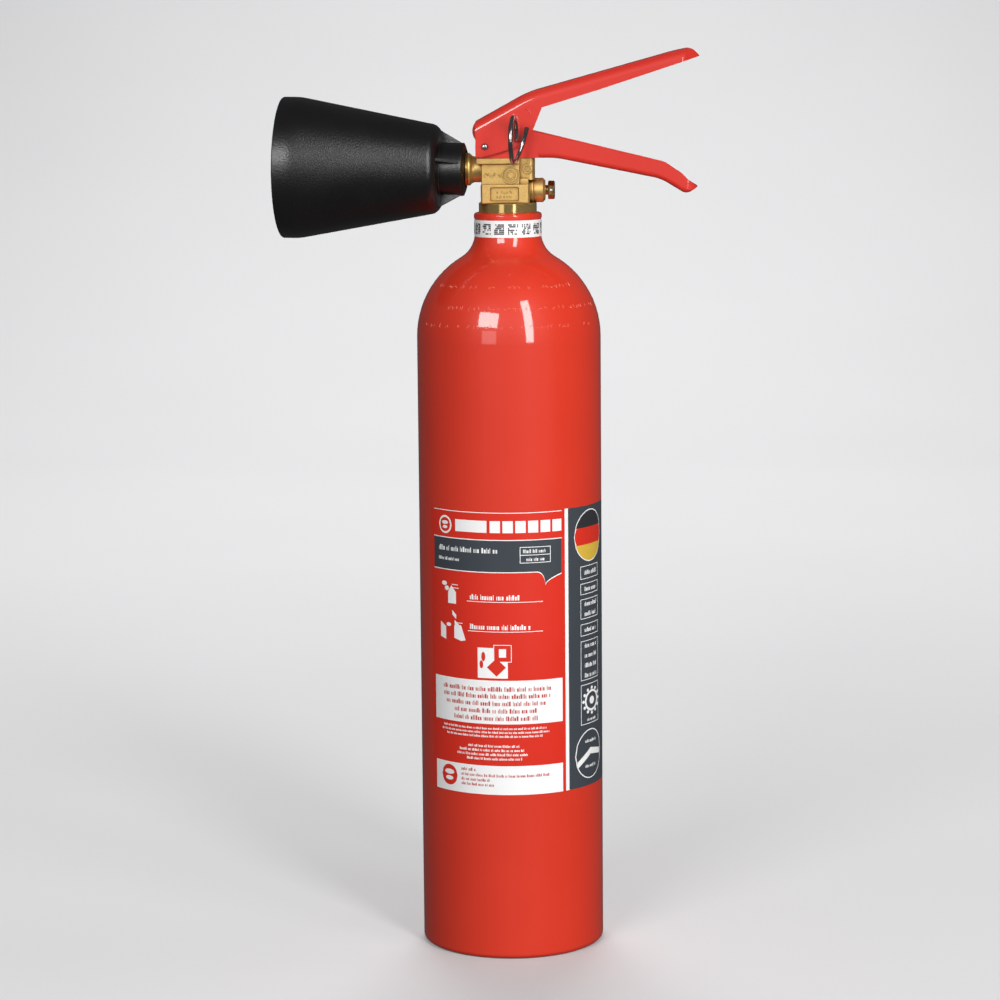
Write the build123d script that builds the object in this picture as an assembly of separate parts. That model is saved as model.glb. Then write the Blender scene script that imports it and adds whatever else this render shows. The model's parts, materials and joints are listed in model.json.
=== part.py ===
from build123d import *
import math
import os

# Hand-held CO2 fire extinguisher: a seamless steel cylinder with a hemispherical shoulder, a forged
# brass squeeze-grip valve and a short plastic discharge horn that swivels on the valve outlet.
# Frame: +Z up, origin at the centre of the base, the horn points along -X and the grip along +X.
# All sizes are in millimetres.

# --- Cylinder -----------------------------------------------------------------------------------
CYLINDER_R = 51.0
WALL = 3.2
BASE_EDGE_R = 3.0
BASE_THICKNESS = 7.0
SHOULDER_Z = 343.0
NECK_R = 18.3
NECK_BLEND_R = 16.0
NECK_TOP = 411.4
RIM_R = 18.8
RIM_HEIGHT = 3.4
NECK_BORE_R = 12.55
SEAL_GROOVE_R = 14.4
BAND_R = 18.6
BAND_BOTTOM = 398.4
LABEL_BOTTOM = 93.7
LABEL_TOP = 251.7
LABEL_THICKNESS = 0.15
LABEL_GAP = 0.02
LABEL_START_DEG = -57.5
LABEL_END_DEG = 87.0

# --- Valve --------------------------------------------------------------------------------------
COLLAR_R = 16.0
COLLAR_TOP = 416.9
LEDGE_Z = 441.4
LEDGE_HEIGHT = 3.1
LEDGE_LEFT = -16.8
BLOCK_LEFT = -14.5
BLOCK_RIGHT = 12.4
UPPER_LEFT = -14.1
UPPER_RIGHT = 6.9
TOWER_RIGHT = 15.1
LOWER_BOTTOM = 416.7
LOWER_TOP = 427.2
LOWER_HALF_DEPTH = 13.5
UPPER_HALF_DEPTH = 12.6
LEDGE_HALF_DEPTH = 14.0
TOWER_HALF_DEPTH = 10.2
LUG_HALF_WIDTH = 8.6
GLAND_SEAT_Z = 447.0
OUTLET_Z = 435.1
OUTLET_FACE = -21.8
OUTLET_BOSS = [
    (-8.0, 0.0),
    (-8.0, 7.1),
    (-18.2, 7.1),
    (-19.2, 7.5),
    (-20.0, 8.2),
    (-20.7, 8.9),
    (-21.5, 9.0),
    (OUTLET_FACE, 8.7),
    (OUTLET_FACE, 0.0),
]
OUTLET_BORE_R = 6.0
RELIEF_Z = 423.5
RELIEF_R = 6.7
RELIEF_FACE = 20.9
INLET_R = 6.0
SHANK_BOTTOM = 386.0
SEAT_Z = 427.5
SHAFT_GAP = 0.05

# --- Grip ---------------------------------------------------------------------------------------
SHEET = 2.0
PIVOT_X = -12.0
PIVOT_Z = 447.8
PIVOT_R = 1.6
SQUEEZE_DEG = 14.0
HANDLE_HALF_WIDTH = 10.8
LEVER_HALF_WIDTH = 13.1
LEVER_TOP = [(-17.2, 461.6), (11.7, 477.4), (91.2, 499.1), (101.0, 501.1), (106.8, 495.2)]
LEVER_BENDS = [55.0, 60.0, 6.0]
LOCK_X = 5.7
LOCK_Z = 451.8
WIRE_R = 1.3
WIRE_GAP = 0.25
RING_R = 12.4
RING_LEAN_DEG = 6.5
HANDLE_PIN_X = 9.8
HANDLE_PIN_Z = 454.6
HANDLE_PIN_R = 1.25

# --- Stem ---------------------------------------------------------------------------------------
STEM_R = 2.5
STEM_TOP = 455.0
STEM_HEAD_R = 3.6
CAM_R = 2.5
CAM_GAP = 0.1
SPRING_BOTTOM = 403.0
POPPET_BOTTOM = 421.0

# --- Horn, measured from the valve axis along -X ----------------------------------------------------
HUB_R = 14.6
HUB_FACE = 22.7
SHOULDER_FACE = 36.7
SHOULDER_R = 23.9
MOUTH_KINK = 115.3
MOUTH = 124.9
MOUTH_R = 39.0
HORN_WALL = 2.4
STUB_NOSE_R = 7.9
STUB_NOSE_END = 37.0
RIB_COUNT = 4
RIB_TILT_DEG = -17.0
CRANK_X = -23.0
CRANK_DEG = 5.5
CRANK_RISE_DEG = 0.8


def rod(radius, start, end, axis="Z", at=(0.0, 0.0)):
    """A cylinder along an axis from start to end; at gives its other two coordinates in X, Y, Z order."""
    shape = Cylinder(radius, end - start, align=(Align.CENTER, Align.CENTER, Align.MIN))
    if axis == "X":
        return Pos(start, at[0], at[1]) * Rot(0, 90, 0) * shape
    if axis == "Y":
        return Pos(at[0], start, at[1]) * Rot(-90, 0, 0) * shape
    return Pos(at[0], at[1], start) * shape


def block(x, y, z):
    """A box from three (low, high) pairs."""
    size = (x[1] - x[0], y[1] - y[0], z[1] - z[0])
    middle = Pos((x[0] + x[1]) / 2, (y[0] + y[1]) / 2, (z[0] + z[1]) / 2)
    return middle * Box(*size)


def ring(outer, inner, start, end, axis="Z", at=(0.0, 0.0)):
    """A plain ring or tube."""
    return rod(outer, start, end, axis, at) - rod(inner, start - 1, end + 1, axis, at)


def turned(points, axis=Axis.Z):
    """A solid turned about an axis from (distance along X, height) points in the XZ plane."""
    return revolve(Plane.XZ * make_face(Polyline(*points, close=True)), axis)


def plate(outline, half_width):
    """A side view in the XZ plane, given the thickness 2 x half_width across Y."""
    return extrude(Plane.XZ * outline, half_width, both=True)


def torus(major, minor, z):
    return Pos(0, 0, z) * Torus(major, minor)


def inset(points, distance):
    """An open polyline moved to its right-hand side by a distance, with mitred corners."""
    moved = []
    for i, here in enumerate(points):
        before = points[max(i - 1, 0)]
        after = points[min(i + 1, len(points) - 1)]
        normals = []
        for a, b in ((before, here), (here, after)):
            length = math.dist(a, b)
            if length > 0:
                normals.append(((b[1] - a[1]) / length, -(b[0] - a[0]) / length))
        first, last = normals[0], normals[-1]
        scale = distance / (1 + first[0] * last[0] + first[1] * last[1])
        moved.append((here[0] + (first[0] + last[0]) * scale, here[1] + (first[1] + last[1]) * scale))
    return moved


# --- Cylinder and what is on it -----------------------------------------------------------------------


def neck_blend_centre():
    """The centre of the concave arc that joins the shoulder's sphere to the neck."""
    x = NECK_R + NECK_BLEND_R
    return x, SHOULDER_Z + math.sqrt((CYLINDER_R + NECK_BLEND_R) ** 2 - x**2)


def cylinder_shell():
    blend_x, blend_z = neck_blend_centre()
    reach = CYLINDER_R / (CYLINDER_R + NECK_BLEND_R)
    shoulder_end = (blend_x * reach, SHOULDER_Z + (blend_z - SHOULDER_Z) * reach)
    half = math.radians(45)
    shoulder_mid = (CYLINDER_R * math.cos(half / 1.5), SHOULDER_Z + CYLINDER_R * math.sin(half / 1.5))
    edge_mid = CYLINDER_R - BASE_EDGE_R + BASE_EDGE_R * math.cos(half)
    blend_angle = (math.pi + math.atan2(shoulder_end[1] - blend_z, shoulder_end[0] - blend_x) + 2 * math.pi) / 2
    blend_mid = (
        blend_x + NECK_BLEND_R * math.cos(blend_angle),
        blend_z + NECK_BLEND_R * math.sin(blend_angle),
    )
    rim_low = NECK_TOP - RIM_HEIGHT
    rim_round = 1.5
    rim_bevel = 0.5
    turn = rim_round * (1 - math.sin(half))
    outside = [
        Line((0, 0), (CYLINDER_R - BASE_EDGE_R, 0)),
        ThreePointArc(
            (CYLINDER_R - BASE_EDGE_R, 0),
            (edge_mid, BASE_EDGE_R - BASE_EDGE_R * math.sin(half)),
            (CYLINDER_R, BASE_EDGE_R),
        ),
        Line((CYLINDER_R, BASE_EDGE_R), (CYLINDER_R, SHOULDER_Z)),
        ThreePointArc((CYLINDER_R, SHOULDER_Z), shoulder_mid, shoulder_end),
        ThreePointArc(shoulder_end, blend_mid, (NECK_R, blend_z)),
        Polyline((NECK_R, blend_z), (NECK_R, rim_low), (RIM_R, rim_low + rim_bevel), (RIM_R, NECK_TOP - rim_round)),
        ThreePointArc((RIM_R, NECK_TOP - rim_round), (RIM_R - turn, NECK_TOP - turn), (RIM_R - rim_round, NECK_TOP)),
    ]
    inner_r = CYLINDER_R - WALL
    neck_inner_z = SHOULDER_Z + 38.0
    inside = [
        Polyline(
            (RIM_R - rim_round, NECK_TOP),
            (SEAL_GROOVE_R, NECK_TOP),
            (SEAL_GROOVE_R, NECK_TOP - 1.8),
            (NECK_BORE_R, NECK_TOP - 1.8),
            (NECK_BORE_R, neck_inner_z),
        ),
        ThreePointArc((NECK_BORE_R, neck_inner_z), (32.0, SHOULDER_Z + 29.0), (inner_r, SHOULDER_Z - 6)),
        Line((inner_r, SHOULDER_Z - 6), (inner_r, 16)),
        ThreePointArc((inner_r, 16), (inner_r - 3, BASE_THICKNESS + 2.5), (inner_r - 12, BASE_THICKNESS)),
        Polyline((inner_r - 12, BASE_THICKNESS), (0, BASE_THICKNESS), (0, 0)),
    ]
    return revolve(Plane.XZ * make_face(outside + inside), Axis.Z)


def body_label():
    """A printed film round the front and the grip side; angles run from -Y towards +X."""
    inner = CYLINDER_R + LABEL_GAP
    tall = LABEL_TOP - LABEL_BOTTOM
    sector = Pos(inner, 0, LABEL_BOTTOM) * Box(
        LABEL_THICKNESS, 0.01, tall, align=(Align.MIN, Align.MIN, Align.MIN)
    )
    strip = sector.faces().sort_by(Axis.Y)[0]
    swept = revolve(strip, Axis.Z, LABEL_END_DEG - LABEL_START_DEG)
    return Rot(0, 0, LABEL_START_DEG - 90) * swept


def neck_band(shell):
    return ring(BAND_R, NECK_R, BAND_BOTTOM, NECK_TOP - RIM_HEIGHT - 0.3) - shell


def neck_o_ring():
    return torus((NECK_BORE_R + SEAL_GROOVE_R) / 2, 0.8, NECK_TOP - 0.9)


# --- Valve --------------------------------------------------------------------------------------------


def lug_outline():
    """The saddle on top of the valve that carries the pivot pin and the handle."""
    points = [
        (-16.0, LEDGE_Z - 1),
        (-16.0, 451.7),
        (-8.0, 451.7),
        (-8.0, GLAND_SEAT_Z),
        (5.4, GLAND_SEAT_Z),
        (5.4, 445.6),
        (7.6, 445.6),
        (7.6, 457.0),
        (12.3, 457.0),
        (12.3, LEDGE_Z - 1),
    ]
    return make_face(Polyline(*points, close=True))


def valve_outside():
    lower = block((BLOCK_LEFT, BLOCK_RIGHT), (-LOWER_HALF_DEPTH, LOWER_HALF_DEPTH), (LOWER_BOTTOM, LOWER_TOP))
    lower = chamfer(lower.edges().filter_by(Axis.Z), 0.9)
    lower = chamfer(lower.faces().sort_by(Axis.Z)[0].edges(), 0.7)
    lower = fillet(lower.faces().sort_by(Axis.Z)[-1].edges(), 0.4)
    upper = block((UPPER_LEFT, UPPER_RIGHT), (-UPPER_HALF_DEPTH, UPPER_HALF_DEPTH), (LOWER_TOP - 1, LEDGE_Z - 2))
    upper = fillet(upper.edges().filter_by(Axis.Z), 0.8)
    ledge = block((LEDGE_LEFT, UPPER_RIGHT), (-LEDGE_HALF_DEPTH, LEDGE_HALF_DEPTH), (LEDGE_Z - LEDGE_HEIGHT, LEDGE_Z))
    ledge = fillet(ledge.edges().filter_by(Axis.Z), 0.8)
    ledge = chamfer(ledge.faces().sort_by(Axis.Z)[0].edges(), 0.5)
    tower = block((0, TOWER_RIGHT), (-TOWER_HALF_DEPTH, TOWER_HALF_DEPTH), (429.6, LEDGE_Z))
    tower = fillet(tower.edges().filter_by(Axis.Z), 2.6)
    web = block((UPPER_RIGHT - 1, BLOCK_RIGHT - 0.8), (-11.2, 11.2), (LOWER_TOP - 1, 430.8))
    web = fillet(web.faces().sort_by(Axis.Z)[-1].edges(), 1.0)
    collar = chamfer(rod(COLLAR_R, NECK_TOP, COLLAR_TOP).edges(), 0.4)
    core = rod(12.4, COLLAR_TOP - 1, LEDGE_Z)
    boss = rod(RELIEF_R, 8, RELIEF_FACE, "X", (0, RELIEF_Z))
    boss = chamfer(boss.faces().sort_by(Axis.X)[-1].edges(), 1.4)
    boss_root = rod(RELIEF_R + 1.1, 8, BLOCK_RIGHT + 2.2, "X", (0, RELIEF_Z))
    boss_root = fillet(boss_root.faces().sort_by(Axis.X)[-1].edges(), 1.0)
    outlet = Pos(0, 0, OUTLET_Z) * turned(OUTLET_BOSS, Axis.X)
    shank = chamfer(rod(12.5, SHANK_BOTTOM, NECK_TOP + 1).faces().sort_by(Axis.Z)[0].edges(), 1.0)
    lug = plate(lug_outline(), LUG_HALF_WIDTH)
    lug = fillet(lug.edges().filter_by(Axis.Y).filter_by(lambda e: e.center().X < -15 and e.center().Z > 450), 3.5)
    return lower + upper + ledge + tower + web + collar + core + boss + boss_root + outlet + shank + lug


def valve_markings(side):
    """A plain recessed panel, a ring and a pad on one face of the forging; side is -1 front, 1 back."""
    pocket = block((-9.4, 6.6), (-0.9, 0.9), (418.0, 425.9))
    pocket = fillet(pocket.edges().filter_by(Axis.Y), 1.2)
    badge = ring(3.5, 2.9, -0.45, 0.45, "Y", (2.1, 432.3)) + rod(1.5, -0.35, 0.35, "Y", (2.1, 432.3))
    pad = ring(2.5, 1.7, -0.4, 0.4, "Y", (11.2, 435.6))
    recessed = Pos(0, side * LOWER_HALF_DEPTH, 0) * pocket
    raised = Pos(0, side * UPPER_HALF_DEPTH, 0) * badge + Pos(0, side * TOWER_HALF_DEPTH, 0) * pad
    return recessed, raised


def valve_bores():
    """The ways through the valve: inlet, seat, stem guide, outlet, pressure relief, screw and pins."""
    return [
        rod(INLET_R, SHANK_BOTTOM - 1, SEAT_Z),
        rod(3.2, SEAT_Z - 1, 430),
        rod(4.0, 429.5, 441),
        rod(5.0, 440.8, GLAND_SEAT_Z + 1),
        rod(OUTLET_BORE_R, OUTLET_FACE - 1, -5, "X", (0, OUTLET_Z)),
        rod(3.0, -6, 0, "X", (0, OUTLET_Z)),
        rod(1.6, 2, 16, "X", (0, RELIEF_Z)),
        rod(4.3, 15.5, RELIEF_FACE + 1, "X", (0, RELIEF_Z)),
        rod(2.0, 4.8, 15, "Y", (-10.0, OUTLET_Z)),
        rod(PIVOT_R + 0.03, -12, 12, "Y", (PIVOT_X, PIVOT_Z)),
        rod(HANDLE_PIN_R + 0.02, -12, 12, "Y", (HANDLE_PIN_X, HANDLE_PIN_Z)),
    ]


def valve_body():
    body = valve_outside()
    for side in (-1, 1):
        recessed, raised = valve_markings(side)
        body = body - recessed + raised
    for bore in valve_bores():
        body = body - bore
    return body


def gland_nut():
    head = Pos(0, 0, GLAND_SEAT_Z) * extrude(RegularPolygon(5.77, 6, rotation=30), 2.3)
    head = chamfer(head.faces().sort_by(Axis.Z)[-1].edges(), 0.4)
    nut = head + rod(4.95, 441.2, GLAND_SEAT_Z)
    return nut - rod(STEM_R + SHAFT_GAP, 440, 452) - rod(4.25, 443.6, 445.6)


def gland_o_ring():
    return torus(3.42, 0.8, 444.6)


def spring_retainer():
    return ring(INLET_R - SHAFT_GAP, 2.2, SPRING_BOTTOM - 5, SPRING_BOTTOM)


def return_spring():
    wire_r = 0.6
    coil_r = 4.2
    low = SPRING_BOTTOM + wire_r + 0.05
    high = POPPET_BOTTOM - wire_r - 0.05
    path = Pos(0, 0, low) * Helix(pitch=(high - low) / 6, height=high - low, radius=coil_r)
    section = Plane(origin=path @ 0, z_dir=path % 0) * Circle(wire_r)
    return sweep(section, path, is_frenet=True)


def dip_tube():
    """An aluminium tube whose foot is cut at an angle just above the floor of the cylinder."""
    tube = ring(5.0, 3.7, 14.0, SPRING_BOTTOM - 5)
    collar = ring(INLET_R - SHAFT_GAP, 3.7, SPRING_BOTTOM - 8, SPRING_BOTTOM - 5)
    foot_cut = Pos(0, 0, 14.0) * Rot(0, 40, 0) * Box(40, 40, 12, align=(Align.CENTER, Align.CENTER, Align.MAX))
    return tube + collar - foot_cut


def tube_nut():
    return ring(INLET_R - SHAFT_GAP, 5.05, SHANK_BOTTOM, SPRING_BOTTOM - 8.1)


def burst_disc():
    return rod(4.2, 16.3, 16.5, "X", (0, RELIEF_Z))


def burst_disc_washer():
    return ring(4.2, 1.6, 15.5, 16.3, "X", (0, RELIEF_Z))


def burst_disc_plug():
    at = (0, RELIEF_Z)
    hexagon = Plane.YZ * RegularPolygon(5.1, 6, rotation=30)
    head = Pos(22.3, 0, RELIEF_Z) * extrude(hexagon, 3.8)
    head = chamfer(head.faces().sort_by(Axis.X)[-1].edges(), 0.6)
    head = chamfer(head.faces().sort_by(Axis.X)[0].edges(), 0.4)
    plug = rod(4.25, 16.6, RELIEF_FACE, "X", at) + rod(2.7, RELIEF_FACE, 22.4, "X", at) + head
    return plug - rod(1.4, 16, 24.6, "X", at) - rod(0.8, -6, 6, "Y", (23.9, RELIEF_Z))


def swivel_set_screw():
    at = (-10.0, OUTLET_Z)
    screw = rod(1.95, 7.2, 12.6, "Y", at) + rod(1.1, 5.2, 7.2, "Y", at)
    socket = Pos(-10.0, 11.0, OUTLET_Z) * extrude(Plane.XZ * RegularPolygon(1.15, 6), -3)
    return screw - socket


# --- Grip -----------------------------------------------------------------------------------------------


def extended(points, length):
    """An open polyline with both ends carried on by a length."""
    ends = []
    for end, before in ((points[0], points[1]), (points[-1], points[-2])):
        scale = length / math.dist(end, before)
        ends.append((end[0] + (end[0] - before[0]) * scale, end[1] + (end[1] - before[1]) * scale))
    return [ends[0], *points[1:-1], ends[1]]


def trough_block(line, radii, half_width, bend_r, open_z):
    """The solid between a line in the XZ plane and open_z, with the two long edges of the line rounded."""
    closing = Polyline(line[-1], (line[-1][0], open_z), (line[0][0], open_z), line[0])
    solid = plate(make_face([FilletPolyline(*line, radius=radii), closing]), half_width)
    long_edges = [
        edge
        for edge in solid.edges()
        if abs(abs(edge.center().Y) - half_width) < 0.01 and on_polyline(edge.center(), line)
    ]
    return fillet(long_edges, bend_r)


def channel(line, radii, half_width, bend_r, open_z):
    """A pressed channel of even thickness whose web follows a line, open on the side of open_z."""
    side = 1 if open_z > line[0][1] else -1
    inner_radii = []
    for a, b, c, radius in zip(line, line[1:], line[2:], radii):
        turn = (b[0] - a[0]) * (c[1] - b[1]) - (b[1] - a[1]) * (c[0] - b[0])
        inner_radii.append(radius - SHEET if turn * side > 0 else radius + SHEET)
    inner = extended(inset(line, -side * SHEET), 6.0)
    outer_block = trough_block(line, radii, half_width, bend_r, open_z)
    inner_block = trough_block(inner, inner_radii, half_width - SHEET, bend_r - SHEET, open_z + side * 5)
    return outer_block - inner_block


def carry_handle():
    """The fixed lower handle: two cheeks beside the valve lug, then a channel that is open on top."""
    under = [(17.2, 441.5), (27.2, 441.4), (84.4, 429.6), (98.4, 421.0), (105.4, 425.6)]
    trough = channel(under, [40.0, 26.0, 5.0], HANDLE_HALF_WIDTH, 2.7, 470.0)
    rim = [(17.2, 455.4), (86.8, 438.2), (96.2, 431.9), (100.0, 428.0), (105.4, 424.8)]
    below_rim = FilletPolyline(*rim, radius=[12.0, 12.0, 4.0])
    closing = Polyline(rim[-1], (rim[-1][0], 410.0), (rim[0][0], 410.0), rim[0])
    nose = block((0, 104.6), (-HANDLE_HALF_WIDTH, HANDLE_HALF_WIDTH), (410, 470))
    nose = fillet(nose.faces().sort_by(Axis.X)[-1].edges().filter_by(Axis.Z), 7.0)
    trough = trough & plate(make_face([below_rim, closing]), HANDLE_HALF_WIDTH) & nose

    ear = 4.5
    ear_top = (PIVOT_X, PIVOT_Z + ear)
    ear_mid = (PIVOT_X - ear * math.cos(math.radians(45)), PIVOT_Z + ear * math.sin(math.radians(45)))
    ear_left = (PIVOT_X - ear, PIVOT_Z)
    cheek = make_face(
        [
            Line((3.0, 457.2), ear_top),
            ThreePointArc(ear_top, ear_mid, ear_left),
            Polyline(ear_left, (PIVOT_X - ear, 441.5), under[0], rim[0], (14.0, 456.2)),
            ThreePointArc((14.0, 456.2), (10.0, 458.1), (3.0, 457.2)),
        ]
    )
    between = HANDLE_HALF_WIDTH - SHEET
    cheeks = plate(cheek, HANDLE_HALF_WIDTH) - block((-20, 20), (-between, between), (430, 470))
    pivot = rod(PIVOT_R + 0.03, -12, 12, "Y", (PIVOT_X, PIVOT_Z))
    pin = rod(HANDLE_PIN_R + 0.02, -12, 12, "Y", (HANDLE_PIN_X, HANDLE_PIN_Z))
    lock = rod(WIRE_R + WIRE_GAP, -12, 12, "Y", (LOCK_X, LOCK_Z))
    return trough + cheeks - pivot - pin - lock


def on_polyline(point, points, tolerance=1.6):
    """True where a point lies near a polyline in the XZ plane, rounded corners included."""
    for a, b in zip(points, points[1:]):
        length = math.dist(a, b)
        along = ((point.X - a[0]) * (b[0] - a[0]) + (point.Z - a[1]) * (b[1] - a[1])) / length
        away = abs((point.X - a[0]) * (b[1] - a[1]) - (point.Z - a[1]) * (b[0] - a[0])) / length
        if -tolerance <= along <= length + tolerance and away <= tolerance:
            return True
    return False


def squeeze_lever():
    """The upper lever: a pressed channel, open below, with deep cheeks at the pivot and a closed nose."""
    pressed = channel(LEVER_TOP, LEVER_BENDS, LEVER_HALF_WIDTH, 5.5, 430.0)
    nose_wall = lever_plan(0) - lever_plan(SHEET)
    capped = trough_block(LEVER_TOP, LEVER_BENDS, LEVER_HALF_WIDTH, 5.5, 430.0) & nose_wall
    lower = [
        (106.8, 496.5),
        (104.2, 495.7),
        (96.5, 493.2),
        (51.1, 478.6),
        (19.3, 469.0),
        (14.4, 456.9),
        (8.6, 449.0),
        (0.0, 446.0),
        (-8.0, 443.6),
        (-13.0, 442.4),
        (-17.2, 442.1),
    ]
    cheeks = plate(make_face(Polyline(*lower, (-17.2, 520), (106.8, 520), close=True)), LEVER_HALF_WIDTH)
    body = (pressed & lever_plan(0)) + capped
    lip = make_face(
        [
            ThreePointArc((-16.6, 461.9), (-18.9, 455.9), (-17.4, 451.8)),
            Line((-17.4, 451.8), (-15.6, 452.2)),
            ThreePointArc((-15.6, 452.2), (-16.9, 455.9), (-14.8, 460.7)),
            Line((-14.8, 460.7), (-16.6, 461.9)),
        ]
    )
    lip = plate(lip, LEVER_HALF_WIDTH - 4.6)
    pivot = rod(PIVOT_R + SHAFT_GAP, -15, 15, "Y", (PIVOT_X, PIVOT_Z))
    for start, end in ((-15, LEVER_HALF_WIDTH * -1 + 0.5), (LEVER_HALF_WIDTH - 0.5, 15)):
        pivot += rod(PIVOT_R + 0.5, start, end, "Y", (PIVOT_X, PIVOT_Z))
    return (body & cheeks) + lip - pivot - plate(lock_slot(), 15)


def lock_slot():
    """The lever's opening for the locking pin, an arc about the pivot as long as the squeeze."""
    reach = math.dist((LOCK_X, LOCK_Z), (PIVOT_X, PIVOT_Z))
    start = math.degrees(math.atan2(LOCK_Z - PIVOT_Z, LOCK_X - PIVOT_X))
    return SlotArc(CenterArc((PIVOT_X, PIVOT_Z), reach, start, SQUEEZE_DEG + 0.5), 2 * (WIRE_R + WIRE_GAP))


def lever_plan(margin):
    """Everything inside the lever's plan view, whose far end narrows to a blunt nose."""
    half = LEVER_HALF_WIDTH - margin
    bend, tip = 97.0 - margin / 2, 105.4 - margin
    right = [(-40, -half), (bend, -half), (tip, -5.5)]
    left = [(x, -y) for x, y in reversed(right)]
    plan = Pos(0, 0, 420) * extrude(make_face(Polyline(*right, *left, close=True)), 100)
    return fillet(plan.edges().filter_by(Axis.Z).filter_by(lambda e: e.center().X > 90), 4.0 - margin / 2)


def lever_cam():
    """The saddle welded under the lever's web that bears on the stem."""
    centre_z = STEM_TOP + CAM_GAP + CAM_R
    (low_x, low_z), (high_x, high_z) = inset(LEVER_TOP[:2], SHEET + 0.02)
    slope = (high_z - low_z) / (high_x - low_x)
    left, right = [(x, low_z + slope * (x - low_x)) for x in (-CAM_R, CAM_R)]
    body = make_face(Polyline((-CAM_R, centre_z), (CAM_R, centre_z), right, left, close=True))
    return plate(body, 5.0) + rod(CAM_R, -5.0, 5.0, "Y", (0, centre_z))


def pivot_pin():
    at = (PIVOT_X, PIVOT_Z)
    pin = rod(PIVOT_R, -13.5, 13.5, "Y", at)
    return chamfer(pin.edges().filter_by(GeomType.CIRCLE), 0.35)


def handle_pin():
    return rod(HANDLE_PIN_R, -HANDLE_HALF_WIDTH, HANDLE_HALF_WIDTH, "Y", (HANDLE_PIN_X, HANDLE_PIN_Z))


def safety_pin():
    """One bent wire: a straight shank through all four cheeks and a pull ring that leans towards the horn."""
    bend_r = 2.0
    bend_y = -14.8
    reach = math.sqrt((RING_R + bend_r) ** 2 - bend_r**2)
    meet = math.atan2(bend_r, reach)
    lean = math.radians(RING_LEAN_DEG)
    tail_tilt = math.radians(18)
    tail_end = math.radians(125)

    def leaned(across, outward, up):
        return (
            LOCK_X + across * math.cos(lean) - outward * math.sin(lean),
            bend_y - across * math.sin(lean) - outward * math.cos(lean),
            LOCK_Z + up,
        )

    def on_ring(angle):
        return leaned(0, reach - RING_R * math.cos(angle), RING_R * math.sin(angle))

    def on_tail(angle):
        away = RING_R * (1 - math.cos(angle))
        return leaned(away * math.sin(tail_tilt), reach - RING_R * math.sin(angle), away * math.cos(tail_tilt) - RING_R)

    into_ring = (-math.sin(meet) * math.sin(lean), -math.sin(meet) * math.cos(lean), math.cos(meet))
    path = Wire(
        [
            Line((LOCK_X, 16.0, LOCK_Z), (LOCK_X, bend_y, LOCK_Z)),
            Spline((LOCK_X, bend_y, LOCK_Z), on_ring(meet), tangents=[(0, -1, 0), into_ring]),
            ThreePointArc(on_ring(meet), on_ring((meet + math.radians(270)) / 2), on_ring(math.radians(270))),
            ThreePointArc(on_tail(0), on_tail(tail_end / 2), on_tail(tail_end)),
        ]
    )
    section = Plane(origin=(LOCK_X, 16.0, LOCK_Z), z_dir=(0, -1, 0)) * Circle(WIRE_R)
    return sweep(section, path)


# --- Stem -------------------------------------------------------------------------------------------------


def valve_stem():
    head = chamfer(rod(STEM_HEAD_R, STEM_TOP - 2.2, STEM_TOP).edges(), 0.4)
    return head + rod(STEM_R, 430.4, STEM_TOP - 2) + rod(1.7, POPPET_BOTTOM + 1, 430.5)


def stem_poppet():
    guide = rod(2.4, POPPET_BOTTOM - 4, POPPET_BOTTOM)
    return guide + rod(5.0, POPPET_BOTTOM, 425.4) - rod(1.72, POPPET_BOTTOM + 1, 426)


def seat_disc():
    return ring(4.6, 1.72, 425.4, SEAT_Z - SHAFT_GAP)


# --- Horn, drawn along the X axis and then turned onto the cranked nose of the stub -----------------------


def cranked(shape):
    return Pos(CRANK_X, 0, OUTLET_Z) * Rot(0, CRANK_RISE_DEG, -CRANK_DEG) * Pos(-CRANK_X, 0, 0) * shape


def discharge_horn():
    recess_r = 10.3
    slope = (MOUTH_R - SHOULDER_R) / (MOUTH_KINK - SHOULDER_FACE)
    outside = FilletPolyline(
        (-HUB_FACE, recess_r),
        (-HUB_FACE, 11.0),
        (-HUB_FACE - 1.3, HUB_R),
        (-SHOULDER_FACE, HUB_R),
        (-SHOULDER_FACE, SHOULDER_R),
        (-MOUTH_KINK, MOUTH_R),
        (-MOUTH, MOUTH_R),
        (-MOUTH, MOUTH_R - HORN_WALL),
        radius=[0.3, 0.6, 0.6, 6.0, 30.0, 0.8],
    )
    inner_kink_r = MOUTH_R - HORN_WALL
    throat = SHOULDER_FACE + 4.5
    throat_r = inner_kink_r - (MOUTH_KINK - throat) * slope
    inside = FilletPolyline(
        (-MOUTH, MOUTH_R - HORN_WALL),
        (-MOUTH_KINK, inner_kink_r),
        (-throat - 2, throat_r + 2 * slope),
        (-throat, 13.0),
        (-throat, STUB_NOSE_R + SHAFT_GAP),
        radius=[12.0, 3.0, 1.0],
    )
    bore = Polyline(
        (-throat, STUB_NOSE_R + SHAFT_GAP),
        (-24.5, STUB_NOSE_R + SHAFT_GAP),
        (-24.5, recess_r),
        (-HUB_FACE, recess_r),
    )
    horn = revolve(Plane.XZ * make_face([outside, inside, bore]), Axis.X)
    rib_foot = HUB_R - 0.5
    rib_end = -SHOULDER_FACE - 1.2
    rib_side = make_face(Polyline((-24.2, rib_foot), (rib_end, 22.0), (rib_end, rib_foot), close=True))
    for i in range(RIB_COUNT):
        angle = RIB_TILT_DEG + i * 360 / RIB_COUNT
        horn += Rot(angle, 0, 0) * plate(rib_side, 0.75)
    return cranked(horn)


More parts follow.
